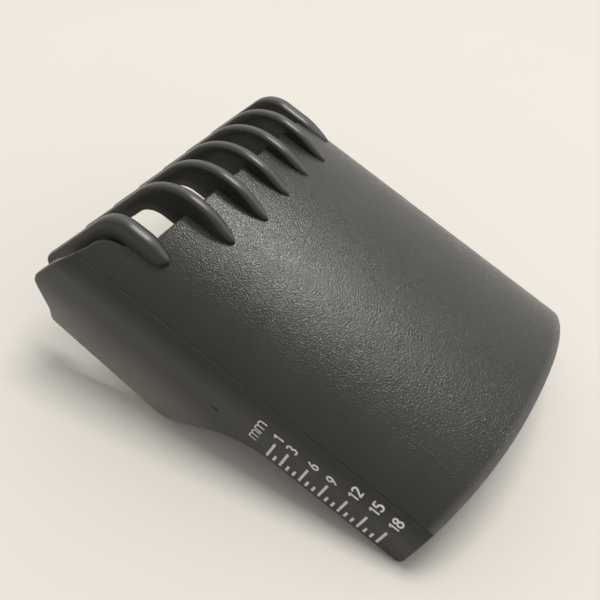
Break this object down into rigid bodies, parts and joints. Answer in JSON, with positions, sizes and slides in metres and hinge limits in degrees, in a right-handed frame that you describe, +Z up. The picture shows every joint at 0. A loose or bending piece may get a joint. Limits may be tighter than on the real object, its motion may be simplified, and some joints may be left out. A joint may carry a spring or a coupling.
{
  "type": "clipper guard comb",
  "caption": "Arched slide-on guard comb for a hair clipper, with fin teeth in front, guide rails inside and a millimetre scale along one wall.",
  "frame": {"origin": "middle of the bounding box's base, on the surface that the comb rests on", "axes": "+Y from the rear edge towards the teeth, +Z up, +X across; the side wall with the scale is at -X"},
  "size_m": [0.0508, 0.0642, 0.0281],
  "materials": {
    "grained_plastic": "fine spark-eroded grain with a soft satin highlight",
    "satin_plastic": "smooth satin",
    "fin_plastic": "smooth half gloss",
    "inner_plastic": "plain moulded satin",
    "arm_plastic": "smooth satin"
  },
  "bodies": {
    "comb": {"back_shell": "grained_plastic", "side_wall_left": "satin_plastic", "side_wall_right": "satin_plastic", "upper_cheek_left": "satin_plastic", "upper_cheek_right": "satin_plastic", "comb_tooth_1": "fin_plastic", "comb_tooth_2": "fin_plastic", "comb_tooth_3": "fin_plastic", "comb_tooth_4": "fin_plastic", "comb_tooth_5": "fin_plastic", "comb_tooth_6": "fin_plastic", "comb_tooth_7": "fin_plastic", "tooth_root_rib": "inner_plastic", "guide_rail_left": "inner_plastic", "guide_rail_right": "inner_plastic", "stop_block_left": "inner_plastic", "stop_block_right": "inner_plastic", "arm_root_left": "inner_plastic", "arm_root_right": "inner_plastic"},
    "left_arm": {"click_arm_left": "arm_plastic"},
    "right_arm": {"click_arm_right": "arm_plastic"}
  },
  "joints": [
    {"name": "left_arm_flex", "type": "hinge", "parent": "comb", "child": "left_arm", "pos_m": [-0.022, -0.00345, 0.00758], "axis": [0, 0.2518, -0.9678], "range_deg": [0, 2.5], "stiffness_Nm_per_rad": 0.07},
    {"name": "right_arm_flex", "type": "hinge", "parent": "comb", "child": "right_arm", "pos_m": [0.022, -0.00345, 0.00758], "axis": [0, -0.2518, 0.9678], "range_deg": [0, 2.5], "stiffness_Nm_per_rad": 0.07}
  ]
}
